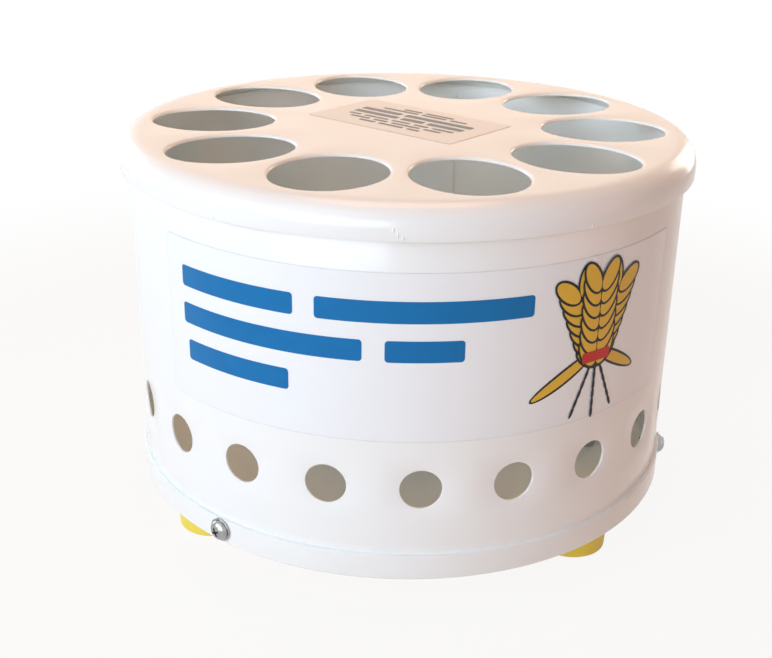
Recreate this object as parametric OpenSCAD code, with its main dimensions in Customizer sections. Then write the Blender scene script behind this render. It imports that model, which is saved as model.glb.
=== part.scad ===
// Egg candling lamp: a sheet metal drum with one lamp lying inside and a lift-off lid, whose ring of
// oval holes holds eggs over the light. Millimetres, +Z up. The floor under the feet is z = 0, the
// drum's axis is the Z axis, and the front, where the row of vents is centred, faces -Y.

/* [Drum] */
// Outer diameter of the drum wall
drum_d = 213.4; // [206:0.2:240]
// Height of the drum from its lower edge to the middle of its rolled rim
drum_h = 128; // [120:1:160]
// Thickness of the drum, lid and pan sheet
sheet_t = 1; // [0.7:0.05:1.2]
// Diameter of the rim rolled outwards at the top of the drum
bead_d = 2.8; // [2.4:0.1:3.4]
// Width of the lapped seam inside the drum
seam_lap_w = 8; // [5:0.5:10]
// Direction of the seam's visible edge, in degrees from +X
seam_angle = 73.5; // [72:0.5:75]

/* [Vents] */
// Number of round vents in the row
vent_count = 20; // [12:1:20]
// Angle between neighbouring vents, in degrees
vent_pitch = 17.67; // [16:0.01:17.8]
// Diameter of a vent
vent_d = 14.6; // [10:0.2:16]
// Height of the vents' centres above the drum's lower edge
vent_rise = 34; // [32:0.5:50]

/* [Lid] */
// Height of the lid from its top to its lower edge
lid_h = 11.5; // [11:0.5:20]
// Outer radius of the lid's rounded edge
lid_edge_r = 8; // [6.5:0.5:9]
// Gap between the drum's rolled rim and the lid's straight wall
lid_gap = 0.5; // [0.4:0.05:1]
// Gap between the lid's rounded edge and the rolled rim that carries it
seat_gap = 0.3; // [0.1:0.05:0.35]
// Number of egg holes
egg_count = 10; // [6:1:10]
// Width of the lid left between neighbouring egg holes, on their ring
egg_web_w = 6.85; // [5.5:0.05:9]
// Length of an egg hole as a share of its width
egg_shape = 1.183; // [1.16:0.001:1.25]
// Radius of an egg hole's two ends as a share of its width
egg_end_share = 0.44; // [0.4:0.005:0.44]
// Width of the lid left between the egg holes and its outer edge
egg_rim_w = 10.95; // [10:0.05:14]
// Turn of the lid: direction of the first egg hole, in degrees from +X
lid_turn = 30.25; // [0:0.25:36]

/* [Base pan] */
// Gap between the drum wall and the pan's flange round it
pan_gap = 0.3; // [0.2:0.05:0.5]
// Outer bend radius of the pan's edge
pan_bend_r = 1.5; // [1.5:0.1:2]
// Width of flange left above the screws' washers
flange_margin = 0; // [0:0.05:6]
// Number of screws that hold the drum in the pan
pan_screw_count = 3; // [3:1:4]
// Direction of the first of these screws, in degrees from +X
pan_screw_turn = -130.6; // [-140:0.2:-125]
// Length of these screws under the head
pan_screw_l = 8; // [8:1:12]

/* [Feet] */
// Diameter of a foot where it meets the pan
foot_d = 28; // [24:0.5:34]
// Diameter of a foot at the floor
foot_base_d = 27; // [22:0.5:30]
// Height of a foot
foot_h = 12.5; // [11:0.5:18]
// Thickness of rubber clamped between the foot's screw and the pan
foot_web = 7; // [5:0.5:8]
// Distance from a foot to the pan's outer edge
foot_inset = 5; // [4:0.5:12]
// Angle between the two front feet, in degrees
foot_spread = 103.4; // [90:0.2:120]
// Turn of the three feet about the drum's axis, in degrees
foot_turn = -7.5; // [-10:0.1:0]
// Length of the foot screws under the head
foot_screw_l = 16; // [16:1:20]

/* [Fasteners] */
// Diameter of the drum, foot and holder screws
screw_d = 4; // [3:0.5:4]
// Diameter of the screw that holds the terminal block
block_screw_d = 3; // [2.5:0.5:3]

/* [Cord inlet] */
// Diameter of the hole in the drum that holds the grommet
grommet_hole_d = 11; // [10:0.5:13]
// Outer diameter of the grommet
grommet_d = 15; // [14.5:0.5:17]
// Bore of the grommet
cord_bore_d = 7; // [5:0.5:8]
// Thickness of the grommet's lip on each side of the wall
grommet_lip_t = 2.2; // [1.5:0.1:2.5]

/* [Lamp] */
// Height of the lamp's axis above the pan's floor
lamp_rise = 52.5; // [50:0.5:70]
// Distance from the drum wall to the holder's back
holder_wall_gap = 25.7; // [24:0.1:36]
// Largest diameter of the bulb
bulb_d = 60; // [50:1:65]
// Length of the bulb from its contact to the end of the glass
bulb_l = 105; // [98:1:110]
// Diameter of the glass neck above the cap
neck_d = 32; // [30:0.5:36]
// Outer diameter of the bulb's screw cap
cap_d = 26; // [25:0.1:27]
// Length of the bulb's cap with its insulator and contact
cap_l = 27; // [26:0.5:30]
// Wall of the glass
glass_t = 0.8; // [0.6:0.1:1]
// Diameter of the holder's ceramic body
holder_d = 44; // [40:1:48]
// Diameter of the holder's base
holder_base_d = 50; // [50:1:54]
// Length of the holder's base
holder_base_l = 10; // [9:0.5:11]
// Length of the holder from its back to its mouth
holder_l = 45; // [44:0.5:48]
// Width of the bracket that carries the holder
bracket_w = 30; // [28:1:32]
// Thickness of the bracket
bracket_t = 1.5; // [1.2:0.1:2]
// Length of the bracket's foot
bracket_foot_l = 34; // [32:1:44]

/* [Terminal block] */
// Width of the terminal block, across its poles
block_w = 21; // [20:0.5:26]
// Length of the terminal block, along its wires
block_l = 22; // [20:1:26]
// Height of the terminal block
block_h = 17; // [16:0.5:20]
// Distance between its two poles
pole_pitch = 10.5; // [10:0.25:12]
// Distance from the block to the drum wall behind it
block_wall_gap = 28.7; // [27:0.1:34]
// Place of the block's middle, to the right of the drum's axis
block_x = 12; // [8:0.5:20]
// Diameter of the insulated leads
lead_d = 2.6; // [2:0.1:2.8]

/* [Hidden] */
$fn = 96;

// Clearances and the overrun of every cut
overrun = 2;
hole_gap = 0.2;
thread_gap = 0.05;
slide_gap = 0.3;
sleeve_gap = 0.1;
nut_floor_gap = 0.5;

// Fasteners, as shares of the thread diameter
head_d_share = 1.9;
head_h_share = 0.65;
washer_d_share = 2.25;
washer_t_share = 0.2;
nut_flat_share = 1.75;
nut_h_share = 0.8;
function nut_corner_d(d) = d * nut_flat_share / cos(30);
function hole_d(d) = d + 2 * hole_gap;

// Heights and radii of the sheet metal
pan_z = foot_h;
floor_z = pan_z + sheet_t;
drum_r = drum_d / 2;
drum_in_r = drum_r - sheet_t;
drum_z = floor_z + pan_bend_r - sheet_t;
rim_z = drum_z + drum_h;
bead_r = bead_d / 2;
bead_ring_r = drum_in_r + bead_r;
pan_in_r = drum_r + pan_gap;
pan_r = pan_in_r + sheet_t;
pan_screw_z = floor_z + nut_floor_gap + nut_corner_d(screw_d) / 2;
pan_h = pan_screw_z + screw_d * washer_d_share / 2 + flange_margin - pan_z;
vent_z = drum_z + vent_rise;
// The lapped edge lies on the wall and is welded into this share of its thickness
lap_sink_share = 0.5;

// The lid's rounded edge hangs over the rolled rim, one seat gap from it
lid_r = drum_r + bead_d + lid_gap;
seat_reach = lid_edge_r - sheet_t - bead_r;
seat_lift = sqrt(pow(seat_reach - seat_gap, 2) - pow(seat_reach - lid_gap, 2));
lid_z = rim_z + lid_edge_r - seat_lift;

// Egg holes: ovals of two end arcs and two side arcs that run into each other. Their width is what
// the webs between them leave of the ring that runs through their middles
egg_reach = lid_r - egg_rim_w;
egg_chord_share = 2 * sin(180 / egg_count);
egg_hole_w = (egg_chord_share * egg_reach - egg_web_w) / (1 + egg_chord_share * egg_shape / 2);
egg_hole_l = egg_hole_w * egg_shape;
egg_end_r = egg_hole_w * egg_end_share;
egg_ring_r = egg_reach - egg_hole_l / 2;
egg_end_x = egg_hole_l / 2 - egg_end_r;
egg_side_drop = egg_hole_w / 2 - egg_end_r;
egg_side_y = (pow(egg_end_x, 2) - pow(egg_side_drop, 2)) / (2 * egg_side_drop);
egg_side_r = egg_hole_w / 2 + egg_side_y;
egg_arc_x = egg_end_x * egg_side_r / norm([egg_end_x, egg_side_y]);

// Directions round the drum, in degrees from +X
vent_first = -90 - vent_pitch * floor(vent_count / 2);
vent_half_turn = asin(vent_d / 2 / drum_r);
seam_turn = asin(seam_lap_w / drum_in_r);
grommet_angle = (seam_angle + seam_turn + vent_first + 360 - vent_half_turn) / 2;
// The rolled sheet starts in the plain strip between the seam and the grommet
strip_share = 0.2;
sheet_start = seam_angle + seam_turn + (grommet_angle - seam_angle - seam_turn) * strip_share;
foot_angles = [-90 + foot_turn - foot_spread / 2, -90 + foot_turn + foot_spread / 2, 90 + foot_turn];
foot_ring_r = pan_r - foot_inset - foot_d / 2;
foot_edge_r = 0.6;
foot_seat_z = foot_h - foot_web;
recess_gap = 1.4;

// A flat face inside the round wall touches it along its two sides
function seat_in(r, w) = sqrt(pow(r, 2) - pow(w / 2, 2));
nut_seat_r = seat_in(drum_in_r, nut_corner_d(screw_d));
grommet_in_r = seat_in(drum_in_r, grommet_d);
grommet_edge_r = 0.8;

// Lamp holder: distances along the lamp's axis start at the holder's back
lamp_z = floor_z + lamp_rise;
holder_back_x = drum_in_r - holder_wall_gap;
back_wall = 12;
shell_t = 0.8;
shell_in_r = cap_d / 2 + slide_gap;
shell_r = shell_in_r + shell_t;
shell_l = 28;
shell_floor_r = 9.5;
holder_bore_r = shell_r + sleeve_gap;
holder_edge = 1.5;
holder_screw_x = 17;
holder_screw_in = 8;
holder_screw_l = bracket_t + holder_screw_in;
post_d = 3.8;
post_out = 5;
post_hole_d = 9;
live_post_y = -5.5;
neutral_post_y = 11.5;
contact_rise = 4;
contact_t = 0.6;
contact_w = 6;
contact_end = 8;
contact_tip = 4;
bracket_bend_r = 3;
bracket_corner_r = 6;
bracket_top = holder_screw_x + screw_d * washer_d_share;
bracket_screw_y = 9;
bracket_screw_in = 12;
bracket_screw_l = 10;

// Bulb: distances along the lamp's axis start at the holder's back too
tip_s = back_wall + contact_rise + slide_gap;
cap_end_s = tip_s + cap_l;
cap_t = 0.5;
tip_d = 9;
tip_h = 1;
insulator_h = 3.5;
insulator_d = 20;
bulb_r = bulb_d / 2;
bulb_s = tip_s + bulb_l - bulb_r;
neck_in_cap = 6;
neck_start_s = cap_end_s + 3;
neck_end_s = cap_end_s + 12;
cement_gap = 0.15;
neck_low_r = cap_d / 2 - cap_t - cement_gap;
stem_flare_h = 3;
stem_d = 8;
stem_l = 22;
rod_d = 3;
rod_l = 18;
button_d = 4.5;
wire_d = 0.6;
filament_d = 1;
filament_r = 13;
filament_angle = 270;
stem_s = cap_end_s - neck_in_cap / 2;
press_s = stem_s + stem_flare_h + stem_l;
filament_s = press_s + rod_l;

// Terminal block
block_y = drum_in_r - block_wall_gap - block_l / 2;
block_base_h = 9;
block_tower_l = 15;
block_slot_w = 2;
sleeve_d = 5;
sleeve_bore_d = 3.2;
sleeve_l = 18;
sleeve_rise = 6;
sleeve_z = floor_z + sleeve_rise;
clamp_screw_d = 2.6;
clamp_screw_pitch = 8;
clamp_screw_sink = 2;
clamp_head_share = 1.2;
block_seat = 5;
block_screw_end_share = 1.5;
block_screw_l = block_seat + sheet_t + block_screw_d * block_screw_end_share;

// Leads: shares of the way from the block's face to the holder's post, along X, Y and Z
lead_in = 6;
lead_sides = 8;
lead_steps = 5;
lead_way_shares = [[0.17, 0.36, -0.05], [0.62, 0.45, -0.07], [0.95, 0.56, 0.1],
    [1.13, 0.8, 0.5], [1.13, 0.98, 0.9]];

// Colours
enamel = "#f3efea";
zinc = "#b9bcc0";
rubber_yellow = "#f0c93a";
rubber_black = "#2a2a2c";
galvanised = "#a9adb0";
ceramic = "#efece4";
brass = "#c9a24e";
glass = "#e8f0f2";
polyamide = "#eceae0";
brown_sleeve = "#7a4a2c";
blue_sleeve = "#2f62a8";

// Puts its children at each direction round the drum
module around(angles) {
    for (angle = angles)
        rotate(angle)
            children();
}

// Turns +Z outwards along the radius at the given height
module outwards(z) {
    translate([0, 0, z])
        rotate([0, 90, 0])
            children();
}

// Turns +Z along the lamp's axis, from the holder's back to the bulb's end, with +X up
module along_lamp() {
    translate([holder_back_x, 0, lamp_z])
        rotate([0, -90, 0])
            children();
}

module tube(d, bore, h) {
    difference() {
        cylinder(d = d, h = h);
        translate([0, 0, -overrun])
            cylinder(d = bore, h = h + 2 * overrun);
    }
}

// Screw with a domed head: its head stands on z = 0 and its shank runs down
module dome_screw(d, l) {
    head_r = d * head_d_share / 2;
    head_h = d * head_h_share;
    dome_r = (pow(head_r, 2) + pow(head_h, 2)) / (2 * head_h);
    rotate_extrude()
        intersection() {
            translate([0, head_h - dome_r])
                circle(dome_r);
            square([head_r, head_h]);
        }
    translate([0, 0, -l])
        cylinder(d = d, h = l + head_h / 2);
}

// Nut that stands on z = 0
module hex_nut(d) {
    difference() {
        cylinder(d = nut_corner_d(d), h = d * nut_h_share, $fn = 6);
        translate([0, 0, -overrun])
            cylinder(d = d + 2 * thread_gap, h = d * nut_h_share + 2 * overrun);
    }
}

module washer(d) {
    tube(d * washer_d_share, hole_d(d), d * washer_t_share);
}

// Half section of a round pressed dish, open below, with a rounded upper edge
module dish_section(r, h, edge_r) {
    square([r - edge_r, h]);
    square([r, h - edge_r]);
    translate([r - edge_r, h - edge_r])
        circle(edge_r);
}

module pressed_dish(r, h, edge_r) {
    rotate_extrude()
        difference() {
            intersection() {
                dish_section(r, h, edge_r);
                square([r, h]);
            }
            translate([0, -overrun])
                intersection() {
                    dish_section(r - sheet_t, h - sheet_t + overrun, edge_r - sheet_t);
                    square([r, h + overrun]);
                }
        }
}

// Base pan: a shallow dish, open above, whose flange goes round the drum
module base_pan() {
    color(enamel)
        difference() {
            translate([0, 0, pan_z + pan_h])
                mirror([0, 0, 1])
                    pressed_dish(pan_r, pan_h, pan_bend_r);
            around(pan_screw_angles())
                outwards(pan_screw_z)
                    translate([0, 0, pan_in_r - overrun])
                        cylinder(d = hole_d(screw_d), h = sheet_t + 2 * overrun);
            around(foot_angles)
                translate([foot_ring_r, 0, 0])
                    pan_hole(screw_d);
            at_bracket_screws()
                pan_hole(screw_d);
            translate([block_x, block_y, 0])
                pan_hole(block_screw_d);
        }
}

module pan_hole(d) {
    translate([0, 0, pan_z - overrun])
        cylinder(d = hole_d(d), h = sheet_t + 2 * overrun);
}

function pan_screw_angles() = [
    for (i = [0 : pan_screw_count - 1])
        pan_screw_turn + i * 360 / pan_screw_count
];

// Drum: one rolled sheet with a lapped seam, a rolled rim and a row of vents
module drum_shell() {
    color(enamel)
        difference() {
            union() {
                rotate(sheet_start)
                    rotate_extrude() {
                        translate([drum_in_r, drum_z])
                            square([sheet_t, drum_h]);
                        translate([bead_ring_r, rim_z])
                            circle(bead_r);
                    }
                rotate(seam_angle)
                    rotate_extrude(angle = seam_turn)
                        translate([drum_in_r - sheet_t, drum_z])
                            square([sheet_t * (1 + lap_sink_share), drum_h - bead_d]);
            }
            around([for (i = [0 : vent_count - 1]) vent_first + i * vent_pitch])
                wall_hole(vent_z, vent_d);
            around(pan_screw_angles())
                wall_hole(pan_screw_z, hole_d(screw_d));
            rotate(grommet_angle)
                wall_hole(vent_z, grommet_hole_d);
        }
}

module wall_hole(z, d) {
    outwards(z)
        translate([0, 0, drum_in_r - sheet_t - overrun])
            cylinder(d = d, h = 2 * sheet_t + 2 * overrun);
}

// Lid: a pressed dish with a ring of oval holes
module lid() {
    color(enamel)
        difference() {
            translate([0, 0, lid_z - lid_h])
                pressed_dish(lid_r, lid_h, lid_edge_r);
            around([for (i = [0 : egg_count - 1]) lid_turn + i * 360 / egg_count])
                translate([egg_ring_r, 0, lid_z - sheet_t - overrun])
                    egg_cut(sheet_t + 2 * overrun);
        }
}

module egg_cut(h) {
    for (side = [-1, 1])
        translate([side * egg_end_x, 0, 0])
            cylinder(r = egg_end_r, h = h);
    intersection() {
        translate([0, egg_side_y, 0])
            cylinder(r = egg_side_r, h = h);
        translate([0, -egg_side_y, 0])
            cylinder(r = egg_side_r, h = h);
        translate([-egg_arc_x, -egg_hole_w, 0])
            cube([2 * egg_arc_x, 2 * egg_hole_w, h]);
    }
}

// Screws through the pan's flange and the drum, with a washer outside and a nut inside
module pan_screws() {
    color(zinc)
        around(pan_screw_angles())
            outwards(pan_screw_z)
                translate([0, 0, pan_r + screw_d * washer_t_share])
                    dome_screw(screw_d, pan_screw_l);
}

module pan_washers() {
    color(zinc)
        around(pan_screw_angles())
            outwards(pan_screw_z)
                translate([0, 0, pan_r])
                    washer(screw_d);
}

module pan_nuts() {
    color(zinc)
        around(pan_screw_angles())
            outwards(pan_screw_z)
                translate([0, 0, nut_seat_r - screw_d * nut_h_share])
                    hex_nut(screw_d);
}

// Foot: a turned rubber plug with a recess below for its screw
module foot(index) {
    recess_d = screw_d * head_d_share + 2 * recess_gap;
    color(rubber_yellow)
        rotate(foot_angles[index])
            translate([foot_ring_r, 0, 0])
                difference() {
                    rotate_extrude()
                        foot_section();
                    translate([0, 0, -overrun])
                        cylinder(d = recess_d, h = foot_seat_z + overrun);
                    cylinder(d = hole_d(screw_d), h = foot_h + overrun);
                }
}

module foot_section() {
    base_r = foot_base_d / 2;
    polygon([[0, 0], [base_r - foot_edge_r, 0], [base_r, foot_edge_r], [foot_d / 2, foot_h], [0, foot_h]]);
}

module foot_front_left() { foot(0); }
module foot_front_right() { foot(1); }
module foot_rear() { foot(2); }

module foot_screws() {
    color(zinc)
        around(foot_angles)
            translate([foot_ring_r, 0, foot_seat_z])
                mirror([0, 0, 1])
                    dome_screw(screw_d, foot_screw_l);
}

module foot_washers() {
    color(zinc)
        around(foot_angles)
            translate([foot_ring_r, 0, floor_z])
                washer(screw_d);
}

module foot_nuts() {
    color(zinc)
        around(foot_angles)
            translate([foot_ring_r, 0, floor_z + screw_d * washer_t_share])
                hex_nut(screw_d);
}

// Grommet: a rubber ring that grips the edge of its hole in the drum wall
module cord_grommet() {
    lip_r = grommet_d / 2;
    inner_z = grommet_in_r - grommet_lip_t;
    outer_z = drum_r + grommet_lip_t;
    color(rubber_black)
        rotate(grommet_angle)
            outwards(vent_z)
                difference() {
                    rotate_extrude()
                        difference() {
                            translate([0, inner_z])
                                lip_section(lip_r, outer_z - inner_z);
                            translate([grommet_hole_d / 2 - sleeve_gap, grommet_in_r])
                                square([lip_r, drum_r - grommet_in_r]);
                        }
                    translate([0, 0, inner_z - overrun])
                        cylinder(d = cord_bore_d, h = outer_z - inner_z + 2 * overrun);
                }
}

// Half section of a disc with rounded edges
module lip_section(r, h) {
    square([r - grommet_edge_r, h]);
    translate([0, grommet_edge_r])
        square([r, h - 2 * grommet_edge_r]);
    for (z = [grommet_edge_r, h - grommet_edge_r])
        translate([r - grommet_edge_r, z])
            circle(grommet_edge_r);
}

// Bracket: a bent plate, with its foot on the pan's floor and the holder on its upright
module lamp_bracket() {
    upright = lamp_rise + bracket_top;
    color(galvanised)
        difference() {
            intersection() {
                translate([holder_back_x + bracket_t, bracket_w / 2, floor_z])
                    rotate([90, 0, 0])
                        linear_extrude(bracket_w)
                            mirror([1, 0])
                                angle_section(upright, bracket_foot_l);
                bracket_face(upright);
            }
            along_lamp() {
                for (side = [-1, 1])
                    translate([side * holder_screw_x, 0, -bracket_t - overrun])
                        cylinder(d = hole_d(screw_d), h = bracket_t + 2 * overrun);
                for (y = [live_post_y, neutral_post_y])
                    translate([0, y, -bracket_t - overrun])
                        cylinder(d = post_hole_d, h = bracket_t + 2 * overrun);
            }
            at_bracket_screws()
                translate([0, 0, floor_z - overrun])
                    cylinder(d = hole_d(screw_d), h = bracket_t + 2 * overrun);
        }
}

// Section of a plate bent square, with its outer corner at the origin
module angle_section(up, out) {
    translate([0, bracket_bend_r])
        square([bracket_t, up - bracket_bend_r]);
    translate([bracket_bend_r, 0])
        square([out - bracket_bend_r, bracket_t]);
    intersection() {
        square(bracket_bend_r);
        translate([bracket_bend_r, bracket_bend_r])
            difference() {
                circle(bracket_bend_r);
                circle(bracket_bend_r - bracket_t);
            }
    }
}

// Front outline of the bracket, with its two upper corners rounded
module bracket_face(up) {
    half_w = bracket_w / 2;
    depth = bracket_foot_l + 2 * overrun;
    translate([holder_back_x + bracket_t + overrun, 0, floor_z])
        rotate([90, 0, -90])
            linear_extrude(depth) {
                translate([-half_w, -overrun])
                    square([bracket_w, up - bracket_corner_r + overrun]);
                translate([bracket_corner_r - half_w, 0])
                    square([bracket_w - 2 * bracket_corner_r, up]);
                for (side = [-1, 1])
                    translate([side * (half_w - bracket_corner_r), up - bracket_corner_r])
                        circle(bracket_corner_r);
            }
}

module at_bracket_screws() {
    screw_x = holder_back_x + bracket_t - bracket_foot_l + bracket_screw_in;
    for (side = [-1, 1])
        translate([screw_x, side * bracket_screw_y, 0])
            children();
}

module bracket_screws() {
    color(zinc)
        at_bracket_screws()
            translate([0, 0, pan_z])
                mirror([0, 0, 1])
                    dome_screw(screw_d, bracket_screw_l);
}

module bracket_nuts() {
    color(zinc)
        at_bracket_screws()
            translate([0, 0, floor_z + bracket_t])
                hex_nut(screw_d);
}

// Holder base: glazed ceramic with a wide foot, bored for the posts and for the bracket's screws
module holder_base() {
    base_r = holder_base_d / 2;
    color(ceramic)
        along_lamp()
            difference() {
                rotate_extrude()
                    polygon([[0, 0], [base_r - holder_edge, 0], [base_r, holder_edge],
                        [base_r, holder_base_l - holder_edge], [base_r - holder_edge, holder_base_l],
                        [holder_d / 2, holder_base_l], [holder_d / 2, back_wall], [0, back_wall]]);
                for (side = [-1, 1])
                    translate([side * holder_screw_x, 0, -overrun])
                        cylinder(d = screw_d + 2 * thread_gap, h = holder_screw_in + overrun + thread_gap);
                for (y = [live_post_y, neutral_post_y])
                    translate([0, y, -overrun])
                        cylinder(d = post_d + 2 * sleeve_gap, h = back_wall + 2 * overrun);
            }
}

// Holder sleeve: a ceramic ring round the screw shell, seated on the base
module holder_sleeve() {
    sleeve_r = holder_d / 2;
    color(ceramic)
        along_lamp()
            rotate_extrude()
                polygon([[holder_bore_r, back_wall], [sleeve_r, back_wall],
                    [sleeve_r, holder_l - holder_edge], [sleeve_r - holder_edge, holder_l],
                    [holder_bore_r, holder_l]]);
}

// Screw shell: a brass cup whose floor is open round the centre contact
module holder_shell() {
    color(brass)
        along_lamp()
            translate([0, 0, back_wall])
                rotate_extrude()
                    polygon([[shell_floor_r, 0], [shell_r, 0], [shell_r, shell_l], [shell_in_r, shell_l],
                        [shell_in_r, shell_t], [shell_floor_r, shell_t]]);
}

// Centre contact: a brass leaf that rises from its post to the lamp's axis
module holder_contact() {
    foot_y = live_post_y + post_d / 2;
    color(brass)
        along_lamp()
            translate([-contact_w / 2, 0, back_wall])
                rotate([90, 0, 90])
                    linear_extrude(contact_w)
                        polygon([[-contact_end, 0], [foot_y, 0], [0, contact_rise - contact_t],
                            [contact_tip, contact_rise - contact_t], [contact_tip, contact_rise],
                            [-contact_t, contact_rise], [foot_y - contact_t, contact_t],
                            [-contact_end, contact_t]]);
}

// Posts that bring the current through the ceramic, one to the contact and one to the shell
module holder_posts() {
    color(brass)
        along_lamp()
            for (y = [live_post_y, neutral_post_y])
                translate([0, y, -bracket_t - post_out])
                    cylinder(d = post_d, h = bracket_t + post_out + back_wall);
}

module holder_screws() {
    color(zinc)
        along_lamp()
            for (side = [-1, 1])
                translate([side * holder_screw_x, 0, -bracket_t])
                    mirror([0, 0, 1])
                        dome_screw(screw_d, holder_screw_l);
}

// Half section of the glass, drawn in by a wall: neck, cone and globe
module glass_section(wall) {
    globe_r = bulb_r - wall;
    shoulder_r = neck_d / 2 - wall;
    reach = norm([bulb_s - neck_end_s, shoulder_r]);
    lean = atan2(shoulder_r, neck_end_s - bulb_s);
    turn = lean - acos(globe_r / reach);
    low_r = neck_low_r - wall;
    intersection() {
        translate([0, bulb_s])
            circle(globe_r);
        translate([0, bulb_s - globe_r])
            square([globe_r, 2 * globe_r]);
    }
    polygon([[0, cap_end_s - neck_in_cap], [low_r, cap_end_s - neck_in_cap], [low_r, neck_start_s],
        [shoulder_r, neck_end_s], [globe_r * sin(turn), bulb_s + globe_r * cos(turn)],
        [0, bulb_s + globe_r * cos(turn)]]);
}

module bulb_glass() {
    color(glass, 0.4)
        along_lamp()
            rotate_extrude()
                difference() {
                    glass_section(0);
                    glass_section(glass_t);
                }
}

// Cap: a thin shell that its insulator closes
module bulb_cap() {
    cap_r = cap_d / 2;
    lip_s = tip_s + tip_h + insulator_h;
    color(brass)
        along_lamp()
            rotate_extrude()
                polygon([[insulator_d / 2, lip_s], [cap_r, lip_s + cap_t], [cap_r, cap_end_s],
                    [cap_r - cap_t, cap_end_s], [cap_r - cap_t, lip_s + 2 * cap_t],
                    [insulator_d / 2, lip_s + cap_t]]);
}

module bulb_insulator() {
    color(rubber_black)
        along_lamp()
            translate([0, 0, tip_s + tip_h])
                cylinder(d1 = tip_d, d2 = insulator_d, h = insulator_h);
}

module bulb_contact() {
    color(zinc)
        along_lamp()
            translate([0, 0, tip_s])
                cylinder(d1 = tip_d - 2 * tip_h, d2 = tip_d, h = tip_h);
}

// Stem: a flared glass tube with a rod and a button that carry the wires
module bulb_stem() {
    flare_r = neck_low_r - glass_t - cement_gap;
    color(glass)
        along_lamp()
            rotate_extrude()
                polygon([[0, stem_s], [flare_r, stem_s], [flare_r, stem_s + glass_t],
                    [stem_d / 2, stem_s + stem_flare_h], [stem_d / 2, press_s], [rod_d / 2, press_s],
                    [rod_d / 2, filament_s - button_d / 2], [button_d / 2, filament_s - button_d / 2],
                    [button_d / 2, filament_s], [0, filament_s]]);
}

// A straight wire between two points
module rod(from, to, d) {
    way = to - from;
    translate(from)
        rotate([0, acos(way[2] / norm(way)), atan2(way[1], way[0])])
            cylinder(d = d, h = norm(way));
}

wire_end_s = filament_s - filament_d / 2 - wire_d / 2;
function on_filament(angle) = [filament_r * cos(angle), filament_r * sin(angle), wire_end_s];
function on_stem(angle, r, s) = [r * cos(angle), r * sin(angle), s];

// Two lead-in wires from the stem and three supports from the button
module bulb_wires() {
    filament_turn = filament_angle / 2;
    color(zinc)
        along_lamp() {
            for (side = [-1, 1])
                rod(on_stem(side * filament_turn, stem_d / 2 - wire_d, press_s),
                    on_filament(side * filament_turn), wire_d);
            for (angle = [-filament_turn / 2, 0, filament_turn / 2])
                rod(on_stem(angle, button_d / 2, filament_s - button_d / 4), on_filament(angle), wire_d);
        }
}

module bulb_filament() {
    color(galvanised)
        along_lamp()
            translate([0, 0, filament_s])
                rotate(-filament_angle / 2)
                    rotate_extrude(angle = filament_angle)
                        translate([filament_r, 0])
                            circle(d = filament_d);
}

// Terminal block: a low base and a tower over the clamp screws, split by a slot between the poles
module terminal_block() {
    color(polyamide)
        translate([block_x, block_y, floor_z])
            difference() {
                union() {
                    translate([-block_w / 2, -block_l / 2, 0])
                        cube([block_w, block_l, block_base_h]);
                    translate([-block_w / 2, -block_tower_l / 2, 0])
                        cube([block_w, block_tower_l, block_h]);
                }
                translate([-block_slot_w / 2, -block_l, block_base_h])
                    cube([block_slot_w, 2 * block_l, block_h]);
                translate([0, 0, -overrun])
                    cylinder(d = hole_d(block_screw_d), h = block_h);
                translate([0, 0, block_seat])
                    cylinder(d = block_screw_d * head_d_share + 2 * hole_gap, h = block_h);
                at_poles()
                    translate([0, -block_l, sleeve_rise])
                        rotate([-90, 0, 0])
                            cylinder(d = sleeve_d + 2 * sleeve_gap, h = 2 * block_l);
                at_clamps()
                    translate([0, 0, sleeve_rise])
                        cylinder(d = clamp_screw_d * clamp_head_share + 2 * hole_gap, h = block_h);
            }
}

module at_poles() {
    for (side = [-1, 1])
        translate([side * pole_pitch / 2, 0, 0])
            children();
}

module at_clamps() {
    at_poles()
        for (side = [-1, 1])
            translate([0, side * clamp_screw_pitch / 2, 0])
                children();
}

module terminal_sleeves() {
    color(brass)
        translate([block_x, block_y, floor_z])
            difference() {
                at_poles()
                    translate([0, -sleeve_l / 2, sleeve_rise])
                        rotate([-90, 0, 0])
                            tube(sleeve_d, sleeve_bore_d, sleeve_l);
                at_clamps()
                    translate([0, 0, sleeve_rise])
                        cylinder(d = clamp_screw_d + 2 * thread_gap, h = sleeve_d);
            }
}

module terminal_screws() {
    head_z = sleeve_rise + sleeve_d / 2 + clamp_screw_sink;
    color(zinc)
        translate([block_x, block_y, floor_z])
            at_clamps() {
                translate([0, 0, sleeve_rise + lead_d / 2 + thread_gap])
                    cylinder(d = clamp_screw_d, h = head_z - sleeve_rise - lead_d / 2);
                translate([0, 0, head_z])
                    cylinder(d = clamp_screw_d * clamp_head_share, h = clamp_screw_sink);
            }
}

module block_screw() {
    color(zinc)
        translate([block_x, block_y, floor_z + block_seat])
            dome_screw(block_screw_d, block_screw_l);
}

module block_nut() {
    color(zinc)
        translate([block_x, block_y, pan_z - block_screw_d * nut_h_share])
            hex_nut(block_screw_d);
}

// A point on the smooth curve that passes through b and c, with a and d beside them
function curve_point(a, b, c, d, t) =
    0.5 * (2 * b + (c - a) * t + (2 * a - 5 * b + 4 * c - d) * pow(t, 2)
        + (3 * b - a - 3 * c + d) * pow(t, 3));
function curve(p) = [
    for (i = [0 : len(p) - 2], step = [0 : lead_steps - 1])
        curve_point(p[max(i - 1, 0)], p[i], p[i + 1], p[min(i + 2, len(p) - 1)], step / lead_steps),
    p[len(p) - 1]
];
function unit(v) = v / norm(v);
function headings(p) = [
    for (i = [0 : len(p) - 1])
        unit(p[min(i + 1, len(p) - 1)] - p[max(i - 1, 0)])
];
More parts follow.
